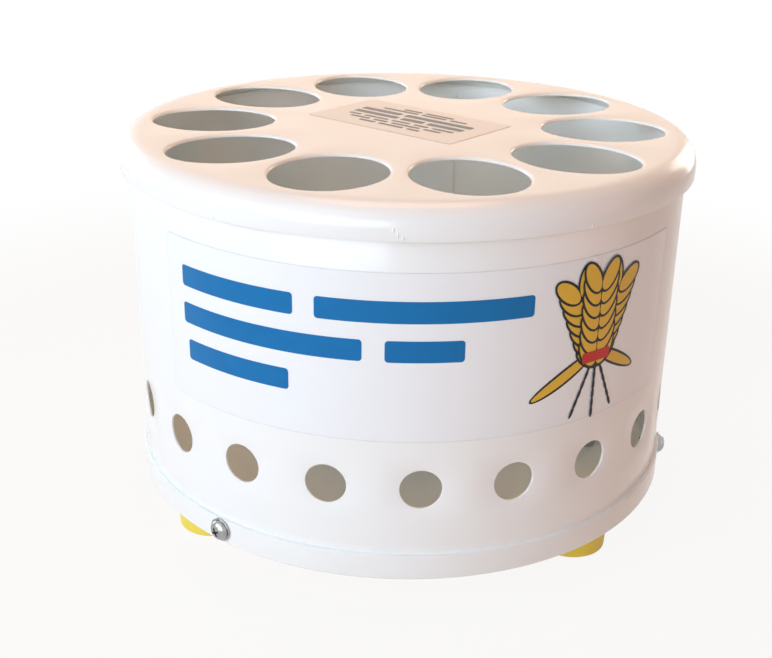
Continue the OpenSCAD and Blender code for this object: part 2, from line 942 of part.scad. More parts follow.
// Carries a side direction along the way without twisting it
function side_ways(ways, side, i = 0) =
    i == len(ways) ? [] : let (next = unit(side - (side * ways[i]) * ways[i]))
        concat([next], side_ways(ways, next, i + 1));

// Sweeps a round lead along a list of points
module swept_lead(points, d) {
    ways = headings(points);
    sides = side_ways(ways, [0, 0, 1]);
    turns = [for (k = [0 : lead_sides - 1]) k * 360 / lead_sides];
    last = lead_sides * (len(points) - 1);
    skin = [
        for (i = [0 : len(points) - 1], turn = turns)
            points[i] + d / 2 * (cos(turn) * sides[i] + sin(turn) * cross(ways[i], sides[i]))
    ];
    walls = [
        for (i = [0 : len(points) - 2], k = [0 : lead_sides - 1])
            let (a = i * lead_sides + k, b = i * lead_sides + (k + 1) % lead_sides)
                each [[a, b, b + lead_sides], [a, b + lead_sides, a + lead_sides]]
    ];
    ends = [
        for (k = [1 : lead_sides - 2])
            each [[0, k + 1, k], [last, last + k, last + k + 1]]
    ];
    polyhedron(skin, concat(walls, ends));
}

// Lead from one pole of the block to one post of the holder
module lead(pole, post_y) {
    start = [block_x + pole * pole_pitch / 2, block_y - sleeve_l / 2, sleeve_z];
    end = [holder_back_x + bracket_t + post_out, post_y, lamp_z];
    way = end - start;
    points = concat(
        [start + [0, lead_in, 0], start, start - [0, block_l / 2 - sleeve_l / 2 + lead_d, 0]],
        [for (share = lead_way_shares) start + [way[0] * share[0], way[1] * share[1], way[2] * share[2]]],
        [end + [2 * lead_d, 0, 0], end + [lead_d, 0, 0], end]
    );
    swept_lead(curve(points), lead_d);
}

module lead_live() {
    color(brown_sleeve)
        lead(-1, live_post_y);
}

module lead_neutral() {
    color(blue_sleeve)
        lead(1, neutral_post_y);
}

base_pan();
drum_shell();
lid();
pan_screws();
pan_washers();
pan_nuts();
foot_front_left();
foot_front_right();
foot_rear();
foot_screws();
foot_washers();
foot_nuts();
cord_grommet();
lamp_bracket();
bracket_screws();
bracket_nuts();
holder_base();
holder_sleeve();
holder_shell();
holder_contact();
holder_posts();
holder_screws();
bulb_glass();
bulb_cap();
bulb_insulator();
bulb_contact();
bulb_stem();
bulb_wires();
bulb_filament();
terminal_block();
terminal_sleeves();
terminal_screws();
block_screw();
block_nut();
lead_live();
lead_neutral();
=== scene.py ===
import math

import bmesh
import bpy
from mathutils import Matrix, Vector


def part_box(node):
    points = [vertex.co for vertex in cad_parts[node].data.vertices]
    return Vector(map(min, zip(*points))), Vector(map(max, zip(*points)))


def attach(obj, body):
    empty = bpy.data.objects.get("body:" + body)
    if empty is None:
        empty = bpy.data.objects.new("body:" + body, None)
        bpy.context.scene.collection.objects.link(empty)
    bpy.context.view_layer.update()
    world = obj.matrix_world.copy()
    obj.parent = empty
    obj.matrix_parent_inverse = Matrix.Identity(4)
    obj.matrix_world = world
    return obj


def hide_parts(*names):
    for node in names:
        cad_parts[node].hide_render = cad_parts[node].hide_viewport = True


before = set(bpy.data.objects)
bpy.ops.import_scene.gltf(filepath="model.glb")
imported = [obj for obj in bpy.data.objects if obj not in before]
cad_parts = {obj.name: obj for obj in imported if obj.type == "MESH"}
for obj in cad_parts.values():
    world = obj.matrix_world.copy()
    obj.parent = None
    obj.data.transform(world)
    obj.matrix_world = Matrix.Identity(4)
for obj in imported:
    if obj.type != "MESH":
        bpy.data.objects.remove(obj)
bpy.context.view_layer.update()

mm = 0.001  # the pieces are drawn in millimetres and end up in metres


def boxInMm(node):
    low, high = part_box(node)
    return Vector(low) / mm, Vector(high) / mm


lidLow, lidHigh = boxInMm("lid")
drumLow, drumHigh = boxInMm("drum_shell")
panLow, panHigh = boxInMm("base_pan")
lidTop = lidHigh.z
lidRadius = lidHigh.x
print("frame loaded:", len(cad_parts), "nodes")


# Small helpers

def toLinear(hexColour):
    channels = [int(hexColour[i:i + 2], 16) / 255 for i in (1, 3, 5)]
    linear = [c / 12.92 if c <= 0.04045 else ((c + 0.055) / 1.055) ** 2.4 for c in channels]
    return (*linear, 1.0)


def addNode(tree, kind, settings=None, values=None, links=None):
    node = tree.nodes.new(kind)
    for name, value in (settings or {}).items():
        setattr(node, name, value)
    for socket, value in (values or {}).items():
        node.inputs[socket].default_value = value
    for socket, source in (links or {}).items():
        tree.links.new(source, node.inputs[socket])
    return node


def startMaterial(name, colour, roughness, sockets=None):
    made = bpy.data.materials.new(name)
    made.use_nodes = True
    tree = made.node_tree
    shader = tree.nodes["Principled BSDF"]
    shader.inputs["Base Color"].default_value = toLinear(colour)
    shader.inputs["Roughness"].default_value = roughness
    for socket, value in (sockets or {}).items():
        shader.inputs[socket].default_value = value
    return made, tree, shader


# Finishes: a pattern is its size in mm, its detail, and the two ends of what it changes

def makeFinish(name, s):
    # soft noise in the colour (tint), the roughness (gloss) and the height (relief: depth in mm, strength)
    made, tree, shader = startMaterial(name, s["colour"], s["roughness"], s.get("sockets"))
    for effect in ("tint", "gloss", "relief"):
        if effect not in s:
            continue
        size, detail, low, high = s[effect]
        place = addNode(tree, "ShaderNodeTexCoord")
        noise = addNode(tree, "ShaderNodeTexNoise", values={"Scale": 1 / (size * mm), "Detail": detail},
                        links={"Vector": place.outputs["Object"]})
        pattern = noise.outputs["Fac"]
        if effect == "tint":
            shades = addNode(tree, "ShaderNodeMix", {"data_type": "RGBA"},
                             {"A": toLinear(low), "B": toLinear(high)}, {"Factor": pattern})
            tree.links.new(shades.outputs["Result"], shader.inputs["Base Color"])
        elif effect == "gloss":
            spread = addNode(tree, "ShaderNodeMapRange", values={"To Min": low, "To Max": high},
                             links={"Value": pattern})
            tree.links.new(spread.outputs["Result"], shader.inputs["Roughness"])
        else:
            bump = addNode(tree, "ShaderNodeBump", values={"Distance": low * mm, "Strength": high},
                           links={"Height": pattern})
            tree.links.new(bump.outputs["Normal"], shader.inputs["Normal"])
    return made


def makeGalvanised(s):
    # Hot-dip galvanised sheet: crystals of lighter and darker grey about 6 mm across
    made, tree, shader = startMaterial("galvanised_sheet", s["colour"], s["roughness"], {"Metallic": 1.0})
    place = addNode(tree, "ShaderNodeTexCoord")
    spangle = addNode(tree, "ShaderNodeTexVoronoi", values={"Scale": 1 / (s["crystal"] * mm)},
                      links={"Vector": place.outputs["Object"]})
    shades = addNode(tree, "ShaderNodeMix", {"data_type": "RGBA"},
                     {"A": toLinear(s["dark"]), "B": toLinear(s["light"])},
                     {"Factor": spangle.outputs["Color"]})
    tree.links.new(shades.outputs["Result"], shader.inputs["Base Color"])
    return made


def makeInsulation(name, low, high):
    # Extruded PVC wire insulation: a plain colour with a satin shine
    return makeFinish(name, {"colour": low, "roughness": 0.36, "tint": (3.0, 2.0, low, high)})


def makeInk(name, low, high):
    # Screen-printed ink on the film: an even colour under a thin shine
    return makeFinish(name, {
        "colour": low, "roughness": 0.3, "sockets": {"IOR": 1.5, "Specular IOR Level": 0.25},
        "tint": (8.0, 3.0, low, high)})


# Sprayed and baked white gloss enamel: a warm white with a wet shine and a faint orange peel
enamel = makeFinish("white_gloss_enamel", {
    "colour": "#F7F6F3", "roughness": 0.2,
    "sockets": {"IOR": 1.5, "Coat Weight": 0.1, "Coat Roughness": 0.06},
    "tint": (45.0, 3.0, "#F5F4F1", "#F9F8F6"), "gloss": (18.0, 4.0, 0.16, 0.26),
    "relief": (2.6, 2.0, 0.02, 0.35)})

# The same enamel inside the drum, painted a lighter, cooler white as painted light, so that the inside reads
# lit and throws the lamp's light about
litLining = makeFinish("inside_enamel_painted_light", {
    "colour": "#F8FCFB", "roughness": 0.28, "sockets": {"IOR": 1.5},
    "tint": (45.0, 3.0, "#F7FBFA", "#F9FDFC")})

# Painted shade along the lap at the drum's back: a fine line of warm grey
seamShade = makeFinish("seam_painted_shade", {
    "colour": "#BDB9B2", "roughness": 0.45, "tint": (6.0, 3.0, "#ADA9A2", "#CFCBC5")})

# Bright zinc-plated steel: a mid silver with soft blotches left by the plating bath
zinc = makeFinish("zinc_plated_steel", {
    "colour": "#A5A6A7", "roughness": 0.2, "sockets": {"Metallic": 1.0},
    "tint": (1.6, 4.0, "#8F9091", "#B9B9B8"), "gloss": (1.6, 4.0, 0.14, 0.28)})

# Moulded yellow rubber: a strong lemon yellow with a dull sheen
yellowRubber = makeFinish("moulded_yellow_rubber", {
    "colour": "#F0D84E", "roughness": 0.48,
    "tint": (4.0, 3.0, "#ECD244", "#F4DF5C"), "relief": (0.8, 2.0, 0.03, 0.4)})

# Moulded black rubber: soft near-black with a chalky bloom
blackRubber = makeFinish("moulded_black_rubber", {
    "colour": "#1E1E20", "roughness": 0.6, "tint": (3.0, 4.0, "#19191B", "#2A2A2C")})

galvanised = makeGalvanised({
    "colour": "#A8ADB1", "roughness": 0.38, "crystal": 6.0, "dark": "#8F959A", "light": "#C4C8CB"})

# Glazed electrical porcelain: creamy white under a clear hard glaze
ceramic = makeFinish("glazed_porcelain", {
    "colour": "#ECE6D9", "roughness": 0.16,
    "sockets": {"IOR": 1.5, "Coat Weight": 0.5, "Coat Roughness": 0.04},
    "tint": (9.0, 3.0, "#E6DFD0", "#F1ECE1")})

# Rolled brass, handled and a little tarnished: yellow metal with browner patches
brass = makeFinish("rolled_brass", {
    "colour": "#C8A257", "roughness": 0.28, "sockets": {"Metallic": 1.0},
    "tint": (5.0, 5.0, "#A98240", "#D8B569"), "gloss": (5.0, 5.0, 0.2, 0.42)})

# Moulded natural polyamide: milky off-white, slightly waxy
polyamide = makeFinish("moulded_polyamide", {
    "colour": "#E8E4D8", "roughness": 0.42, "tint": (6.0, 2.0, "#E2DDCF", "#EDEAE0")})

brownInsulation = makeInsulation("brown_pvc_insulation", "#6B3F24", "#7C4C2E")
blueInsulation = makeInsulation("blue_pvc_insulation", "#2A5BA0", "#356AB2")

# Blown soda-lime glass: clear, seen by its reflections and its darker edges
clearGlass = makeFinish("blown_clear_glass", {
    "colour": "#F7FBFB", "roughness": 0.0, "sockets": {"IOR": 1.5, "Transmission Weight": 1.0}})

# Rolled aluminium lamp cap: pale grey metal with fine scuffs
capAluminium = makeFinish("rolled_aluminium", {
    "colour": "#C9CBCD", "roughness": 0.32, "sockets": {"Metallic": 1.0}, "gloss": (1.2, 5.0, 0.22, 0.45)})

# Black vitrite glass under the lamp cap: deep brown-black and shiny
blackGlass = makeFinish("black_vitrite", {"colour": "#15110F", "roughness": 0.12, "sockets": {"IOR": 1.55}})

# A blob of tin-lead solder: dull silver
solder = makeFinish("tin_lead_solder", {
    "colour": "#B5B6B8", "roughness": 0.42, "sockets": {"Metallic": 1.0}, "gloss": (1.0, 4.0, 0.32, 0.55)})

# Drawn nickel wire: warm silver
nickel = makeFinish("drawn_nickel_wire", {
    "colour": "#C6BFB2", "roughness": 0.25, "sockets": {"Metallic": 1.0}})

# Drawn tungsten filament, unlit: dark grey metal
tungsten = makeFinish("drawn_tungsten", {
    "colour": "#6E6C6A", "roughness": 0.35, "sockets": {"Metallic": 1.0}})

# Clear self-adhesive film over the enamel: as white as the paint, smoother and a shade cooler
film = makeFinish("clear_adhesive_film", {
    "colour": "#F5F5F5", "roughness": 0.1,
    "sockets": {"IOR": 1.5, "Coat Weight": 0.15, "Coat Roughness": 0.03},
    "tint": (30.0, 3.0, "#F3F4F5", "#F7F7F8"), "relief": (14.0, 2.0, 0.05, 0.25)})

# The film's cut edge: a thin grey line of painted shade
filmEdgeShade = makeFinish("film_edge_painted_shade", {
    "colour": "#E0E0E0", "roughness": 0.5, "tint": (5.0, 3.0, "#D4D4D3", "#F0F0F0")})

blueInk = makeInk("blue_screen_ink", "#066AA6", "#0A76B4")
ochreInk = makeInk("ochre_screen_ink", "#E4B436", "#ECC24A")
blackInk = makeInk("black_screen_ink", "#1B1917", "#262320")
redInk = makeInk("red_screen_ink", "#C42A22", "#D0362C")

# Self-adhesive label paper: satin white with a hint of fibre
paper = makeFinish("label_paper", {
    "colour": "#FBFAF8", "roughness": 0.5, "tint": (1.4, 5.0, "#F8F7F5", "#FDFCFB")})

greyInk = makeInk("dark_grey_label_ink", "#4A4A4D", "#5A5A5E")
print("materials made:", len(bpy.data.materials))


# Mesh helpers

onePoint = 0.002  # mm: points nearer than this are joined
joinGap = 0.005  # mm: the same where a sheet's panels meet


def finishPiece(bm, name, body, finish, replaced=(), sharpAngle=38, inside=None):
    # inside is the finish of the faces that look into the drum
    bmesh.ops.remove_doubles(bm, verts=bm.verts, dist=onePoint)
    bm.normal_update()
    drumMiddle = (drumLow + drumHigh) / 2
    for face in bm.faces:
        face.smooth = True
        looksIn = face.normal.dot(drumMiddle - face.calc_center_median()) > 0
        face.material_index = 1 if inside and looksIn else 0
    bmesh.ops.scale(bm, vec=(mm, mm, mm), verts=bm.verts)
    for edge in bm.edges:
        edge.smooth = edge.calc_face_angle(0) < math.radians(sharpAngle)
    mesh = bpy.data.meshes.new(name)
    bm.to_mesh(mesh)
    bm.free()
    mesh.materials.append(finish)
    if inside:
        mesh.materials.append(inside)
    piece = bpy.data.objects.new(name, mesh)
    bpy.context.scene.collection.objects.link(piece)
    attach(piece, body)
    if replaced:
        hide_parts(*replaced)


def arc(centre, radius, start, end, steps):
    # points from start to end in degrees, the last one left out
    turns = [math.radians(start + (end - start) * i / steps) for i in range(steps)]
    return [(centre[0] + radius * math.cos(t), centre[1] + radius * math.sin(t)) for t in turns]


def straight(start, end, steps):
    return [(start[0] + (end[0] - start[0]) * i / steps, start[1] + (end[1] - start[1]) * i / steps)
            for i in range(steps)]


def addLoop(bm, points, toSpace):
    verts = [bm.verts.new(toSpace(p)) for p in points]
    return [bm.edges.new((verts[i - 1], verts[i])) for i in range(len(verts))]


def spinProfile(bm, points, steps, closed=True, matrix=None):
    # turns an outline of (radius, height) points about Z
    verts = [bm.verts.new((r, 0, z)) for r, z in points]
    edges = [bm.edges.new(pair) for pair in zip(verts, verts[1:])]
    if closed:
        edges.append(bm.edges.new((verts[-1], verts[0])))
    before = set(bm.verts) - set(verts)
    bmesh.ops.spin(bm, geom=verts + edges, cent=(0, 0, 0), axis=(0, 0, 1), angle=math.tau,
                   steps=steps, use_merge=True)
    turned = [v for v in bm.verts if v not in before]
    bmesh.ops.remove_doubles(bm, verts=turned, dist=onePoint)
    turned = [v for v in bm.verts if v not in before]
    faces = list({f for v in turned for f in v.link_faces})
    bmesh.ops.recalc_face_normals(bm, faces=faces)
    if matrix:
        bmesh.ops.transform(bm, matrix=matrix, verts=turned)


def openLoops(bm, test):
    return [e for e in bm.edges if e.is_boundary and test((e.verts[0].co + e.verts[1].co) / 2)]


def pushLoop(bm, edges, matrix):
    made = bmesh.ops.extrude_edge_only(bm, edges=edges)["geom"]
    bmesh.ops.transform(bm, matrix=matrix, verts=[g for g in made if isinstance(g, bmesh.types.BMVert)])
    return [g for g in made if isinstance(g, bmesh.types.BMEdge)]


def thicken(bm, sheet):
    # gives an outward-facing sheet its wall on the inside
    bmesh.ops.solidify(bm, geom=bm.faces[:], thickness=sheet)


def softenEdges(bm, offset, sharper=60, segments=2):
    edges = [e for e in bm.edges if e.calc_face_angle(0) > math.radians(sharper)]
    bmesh.ops.bevel(bm, geom=edges, offset=offset, affect="EDGES", segments=segments, profile=0.5,
                    material=-1, clamp_overlap=True)


def outwardAt(azimuth, reach, height):
    # a place on the drum: Z runs outwards along the radius and X runs up
    return (Matrix.Rotation(math.radians(azimuth), 4, "Z") @ Matrix.Translation((reach, 0, height))
            @ Matrix.Rotation(math.radians(90), 4, "Y") @ Matrix.Rotation(math.radians(180), 4, "Z"))


def rollSheet(bm, radius):
    # rolls a flat sheet up: X runs round the drum in mm, Y stands off its wall
    for v in bm.verts:
        turn = v.co.x / radius
        reach = radius + v.co.y
        v.co = Vector((reach * math.cos(turn), reach * math.sin(turn), v.co.z))


patchSettings = {"cellWidth": 1.5, "cellHeight": 3.0, "cornerSteps": 5}


def flatPatch(bm, left, right, low, high, stand, corner):
    # a rounded patch on the flat sheet, cut finely enough to follow the drum
    s = patchSettings
    wide, tall = right - left, high - low
    across, up = max(2, round(wide / s["cellWidth"])), max(2, round(tall / s["cellHeight"]))
    made = bmesh.ops.create_grid(bm, x_segments=across, y_segments=up, size=0.5)["verts"]
    place = (Matrix.Translation(((left + right) / 2, stand, (low + high) / 2))
             @ Matrix.Rotation(math.radians(90), 4, "X") @ Matrix.Diagonal((wide, tall, 1, 1)))
    bmesh.ops.transform(bm, matrix=place, verts=made)
    corners = [v for v in made if len(v.link_edges) == 2]
    bmesh.ops.bevel(bm, geom=corners, offset=corner, affect="VERTICES", segments=s["cornerSteps"],
                    profile=0.5, material=-1)


def finishOnDrum(bm, name, finish):
    # rolls a flat patch onto the drum and turns its faces away from the drum's axis
    rollSheet(bm, drumRadius)
    bm.normal_update()
    inward = [f for f in bm.faces if f.normal.dot(f.calc_center_median() * Vector((1, 1, 0))) < 0]
    bmesh.ops.reverse_faces(bm, faces=inward)
    finishPiece(bm, name, "base", finish, ())


# Lid: a pressed dish, ten oval holes and a large rounded edge

lidSettings = {
    "holes": 10, "firstHole": 30.25, "holeLength": 47.1, "holeWidth": 39.81, "holeEndRadius": 17.52,
    "rimWidth": 10.95, "edgeRadius": 8.0, "sheet": 1.0, "hubRadius": 36.0, "softEdge": 0.45, "lip": 1.3,
    "lipSteps": 5, "outerSteps": 30, "hubSteps": 10, "raySteps": 28, "holeSteps": 24, "edgeSteps": 14,
    "nearRim": 0.5,
}


def eggOval(s, grow):
    # four arcs that run into each other, centred on the hole and let out by grow
    endX = s["holeLength"] / 2 - s["holeEndRadius"]
    drop = s["holeWidth"] / 2 - s["holeEndRadius"]
    sideY = (endX ** 2 - drop ** 2) / (2 * drop)
    sideRadius = s["holeWidth"] / 2 + sideY
    lean = math.degrees(math.atan2(sideY, endX))
    n = s["holeSteps"]
    endRadius = s["holeEndRadius"] + grow
    return (arc((endX, 0), endRadius, -lean, lean, n)
            + arc((0, -sideY), sideRadius + grow, lean, 180 - lean, n)
            + arc((-endX, 0), endRadius, 180 - lean, 180 + lean, n)
            + arc((0, sideY), sideRadius + grow, 180 + lean, 360 - lean, n))


def lidSector(bm, s, turn):
    flat = lidRadius - s["edgeRadius"]
    half = 180 / s["holes"]
    ring = lidRadius - s["rimWidth"] - s["holeLength"] / 2
    ends = [(r * math.cos(math.radians(a)), r * math.sin(math.radians(a)))
            for r in (flat, s["hubRadius"]) for a in (-half, half)]
    outline = (arc((0, 0), flat, -half, half, s["outerSteps"]) + straight(ends[1], ends[3], s["raySteps"])
               + arc((0, 0), s["hubRadius"], half, -half, s["hubSteps"])
               + straight(ends[2], ends[0], s["raySteps"]))
    place = Matrix.Rotation(math.radians(turn), 4, "Z")

    def level(points, drop):
        return addLoop(bm, points, lambda p: place @ Vector((p[0], p[1], lidTop - drop)))

    last = level(outline, 0)
    for i in range(s["lipSteps"] + 1):  # the sheet turns down round the hole
        bend = math.radians(90 * i / s["lipSteps"])
        grow, drop = s["lip"] * (1 - math.sin(bend)), s["lip"] * (1 - math.cos(bend))
        loop = level([(x + ring, y) for x, y in eggOval(s, grow)], drop)
        bmesh.ops.bridge_loops(bm, edges=last + loop)
        last = loop


def makeLid(s):
    bm = bmesh.new()
    for i in range(s["holes"]):
        lidSector(bm, s, s["firstHole"] + i * 360 / s["holes"])
    bmesh.ops.remove_doubles(bm, verts=bm.verts, dist=joinGap)
    flat = lidRadius - s["edgeRadius"]
    hub = openLoops(bm, lambda p: p.to_2d().length < s["hubRadius"] + s["nearRim"])
    bmesh.ops.contextual_create(bm, geom=hub)
    rim = openLoops(bm, lambda p: p.to_2d().length > flat - s["nearRim"])
    reach, height = flat, lidTop
    for i in range(1, s["edgeSteps"] + 1):  # round the edge in small steps
        bend = math.radians(90 * i / s["edgeSteps"])
        newReach = flat + s["edgeRadius"] * math.sin(bend)
        newHeight = lidTop - s["edgeRadius"] * (1 - math.cos(bend))
        grow = Matrix.Diagonal((newReach / reach, newReach / reach, 1, 1))
        rim = pushLoop(bm, rim, Matrix.Translation((0, 0, newHeight - height)) @ grow)
        reach, height = newReach, newHeight
    pushLoop(bm, rim, Matrix.Translation((0, 0, lidLow.z - height)))
    bmesh.ops.recalc_face_normals(bm, faces=bm.faces)
    if max(bm.faces, key=lambda f: f.calc_area()).normal.z < 0:
        bmesh.ops.reverse_faces(bm, faces=bm.faces)
    thicken(bm, s["sheet"])
    softenEdges(bm, s["softEdge"])
    finishPiece(bm, "lid_pressing", "lid", enamel, ["lid"], inside=litLining)


runSettings = {
    # small runs in the paint of the lid's skirt: direction, height below the top, width and length
    "runs": [(-95.8, 7.6, 0.9, 1.6), (-95.0, 9.2, 0.7, 2.2), (-94.2, 10.2, 1.0, 1.3), (-61.0, 10.6, 0.9, 1.5),
             (-128.0, 10.4, 0.8, 1.8), (118.0, 10.2, 0.9, 1.9), (22.0, 10.5, 0.8, 1.4)],
    "rise": 0.35, "sink": 0.1, "rounds": 12, "rings": 8, "sharp": 60,
}


def makePaintRuns(s):
    bm = bmesh.new()
    for azimuth, below, wide, long in s["runs"]:
        place = outwardAt(azimuth, lidRadius - s["sink"], lidTop - below)
        bmesh.ops.create_uvsphere(bm, u_segments=s["rounds"], v_segments=s["rings"], radius=0.5,
                                  matrix=place @ Matrix.Diagonal((long, wide, s["rise"] * 2, 1)))
    finishPiece(bm, "lid_paint_runs", "lid", enamel, (), s["sharp"])


makeLid(lidSettings)
makePaintRuns(runSettings)
print("lid made")


# Drum: a flat sheet with its vents and cord hole, rolled up, with a rolled rim and a lapped seam

drumSettings = {
    "sheet": 1.0, "bead": 2.8, "vents": 20, "ventPitch": 17.67, "ventDiameter": 14.6, "ventRise": 34.0,
    "cordHole": 11.0, "cordAngle": 83.609, "rowHeight": 24.0, "seamAngle": 73.5, "seamWidth": 8.0,
    "acrossSteps": 20, "upSteps": 12, "softEdge": 0.3, "rimSteps": 256, "beadSteps": 16, "rollGap": 0.01,
    "seamThick": 1.1, "seamDepth": 1.45, "seamEnd": 4.2, "seamCuts": 7,
}
drumRadius = drumHigh.x - drumSettings["bead"] + drumSettings["sheet"]
ventHeight = drumLow.z + drumSettings["ventRise"]


def aroundDrum(azimuth):
    return math.radians(azimuth) * drumRadius


def sheetPanel(bm, s, left, right, holeAt, holeDiameter):
    low, high = ventHeight - s["rowHeight"] / 2, ventHeight + s["rowHeight"] / 2
    a, b, c, d = (left, low), (right, low), (right, high), (left, high)
    outline = (straight(a, b, s["acrossSteps"]) + straight(b, c, s["upSteps"])
               + straight(c, d, s["acrossSteps"]) + straight(d, a, s["upSteps"]))
    # both loops start at the lower left, so that their points match
    hole = arc((holeAt, ventHeight), holeDiameter / 2, -135, 225, len(outline))
    edges = [e for points in (outline, hole) for e in addLoop(bm, points, lambda p: Vector((p[0], 0, p[1])))]
    bmesh.ops.bridge_loops(bm, edges=edges)


def makeDrum(s):
    bm = bmesh.new()
    half = s["ventPitch"] / 2
    first = -90 - s["ventPitch"] * (s["vents"] // 2)
    cordAt = s["cordAngle"] - 360
    cordEnd = first - half + (cordAt + half - first + half) / 2  # the panels meet between hole and vent
    for i in range(s["vents"]):
        at = first + i * s["ventPitch"]
        left = cordEnd if i == 0 else at - half
        sheetPanel(bm, s, aroundDrum(left), aroundDrum(at + half), aroundDrum(at), s["ventDiameter"])
    lastEdge = first + (s["vents"] - 1) * s["ventPitch"] + half - 360
    sheetPanel(bm, s, aroundDrum(lastEdge), aroundDrum(cordEnd), aroundDrum(cordAt), s["cordHole"])
    bmesh.ops.remove_doubles(bm, verts=bm.verts, dist=joinGap)
    top, low = ventHeight + s["rowHeight"] / 2, ventHeight - s["rowHeight"] / 2
    rimHeight = drumHigh.z - s["bead"] / 2
    upper = openLoops(bm, lambda p: p.z > top - s["rollGap"])
    pushLoop(bm, upper, Matrix.Translation((0, 0, rimHeight - top)))
    lower = openLoops(bm, lambda p: abs(p.z - low) < s["rollGap"])
    pushLoop(bm, lower, Matrix.Translation((0, 0, drumLow.z - low)))
    rollSheet(bm, drumRadius)
    bmesh.ops.remove_doubles(bm, verts=bm.verts, dist=s["rollGap"])
    bmesh.ops.recalc_face_normals(bm, faces=bm.faces)
    probe = bm.faces[:][0]
    if probe.normal.dot(probe.calc_center_median() * Vector((1, 1, 0))) < 0:
        bmesh.ops.reverse_faces(bm, faces=bm.faces)
    thicken(bm, s["sheet"])
    softenEdges(bm, s["softEdge"])
    beadCentre = (drumHigh.x - s["bead"] / 2, rimHeight)
    spinProfile(bm, arc(beadCentre, s["bead"] / 2, 0, 360, s["beadSteps"]), s["rimSteps"])
    finishPiece(bm, "drum_sheet", "base", enamel, ["drum_shell"], inside=litLining)


def makeSeam(s):
    # the sheet's inner end, lapped and welded behind the outer one
    bm = bmesh.new()
    height = drumHigh.z - s["seamEnd"] - drumLow.z
    middle = aroundDrum(s["seamAngle"]) + s["seamWidth"] / 2
    size = Matrix.Diagonal((s["seamWidth"], s["seamThick"], height, 1))
    at = Matrix.Translation((middle, -s["seamDepth"], drumLow.z + height / 2))
    bmesh.ops.create_cube(bm, size=1, matrix=at @ size)
    across = [e for e in bm.edges if abs(e.verts[0].co.x - e.verts[1].co.x) > s["seamWidth"] / 2]
    bmesh.ops.subdivide_edges(bm, edges=across, cuts=s["seamCuts"])
    rollSheet(bm, drumRadius)
    bmesh.ops.recalc_face_normals(bm, faces=bm.faces)
    softenEdges(bm, s["softEdge"] / 2)
    finishPiece(bm, "drum_seam", "base", litLining, ())


weldSettings = {
    "count": 5, "first": 14.0, "steps": 32, "lineWidth": 0.5, "lineStand": 0.03, "lineCorner": 0.1,
    "button": ((0, 0.05), (1.5, 0.05), (2.1, 0.16), (2.6, 0.13), (3.1, 0.0)),  # radius and rise of a mark
}


def makeSeamOutside(s, drum):
    # the outer end's line down the back, a strip of painted shade, and the marks of the spot welds beside it
    line, welds = bmesh.new(), bmesh.new()
    start = aroundDrum(drum["seamAngle"])
    end = start + drum["seamWidth"]
    flatPatch(line, end - s["lineWidth"], end, panHigh.z, drumHigh.z - drum["bead"], s["lineStand"],
              s["lineCorner"])
    low, high = panHigh.z + s["first"], lidLow.z - s["first"]
    lying = Matrix.Rotation(math.radians(-90), 4, "X")
    for i in range(s["count"]):
        height = low + (high - low) * i / (s["count"] - 1)
        place = Matrix.Translation(((start + end) / 2, 0, height)) @ lying
        spinProfile(welds, s["button"], s["steps"], closed=False, matrix=place)
    finishOnDrum(line, "drum_seam_line", seamShade)
    finishOnDrum(welds, "drum_seam_welds", enamel)


makeDrum(drumSettings)
makeSeam(drumSettings)
makeSeamOutside(weldSettings, drumSettings)
print("drum made")


# Base pan: a shallow dish whose flange goes round the drum

panSettings = {"sheet": 1.0, "bend": 1.0, "softEdge": 0.3, "paintFill": 0.05, "bendSteps": 8, "steps": 288}


def makePan(s):
    bm = bmesh.new()
    outer, inner = panHigh.x, drumRadius - s["paintFill"]  # the paint fills the gap between flange and drum
    soft, bend = s["softEdge"], s["bend"]
    floorTop = panLow.z + s["sheet"]
    n = s["bendSteps"]
    profile = ([(0, panLow.z)] + arc((outer - bend, panLow.z + bend), bend, -90, 0, n)
               + [(outer, panLow.z + bend)]
               + arc((outer - soft, panHigh.z - soft), soft, 0, 90, n)
               + [(inner, panHigh.z), (inner, floorTop), (0, floorTop)])
    spinProfile(bm, profile, s["steps"], closed=False)
    finishPiece(bm, "pan_pressing", "base", enamel, ["base_pan"], inside=litLining)


makePan(panSettings)
print("pan made")


# Screws through the pan's flange: washers and domed heads with a cross recess

panScrewSettings = {
    "count": 3, "first": -130.6, "height": 18.04, "thread": 4.0, "length": 8.0, "headDiameter": 7.6,
    "headHeight": 2.6, "headSkirt": 0.7, "washerDiameter": 9.0, "washerHole": 4.4, "washer": 0.8,
    "soft": 0.2, "recessReach": 0.5, "recessHalf": 0.11, "recessDepth": 1.3, "recessTaper": 0.8, "cells": 18,
    "steps": 48, "softSteps": 4, "dome": 0.92, "tip": 0.3, "sunk": 0.2, "firstTurn": 25.0, "nextTurn": 40.0,
    "washerSharp": 30, "headSharp": 34,
}


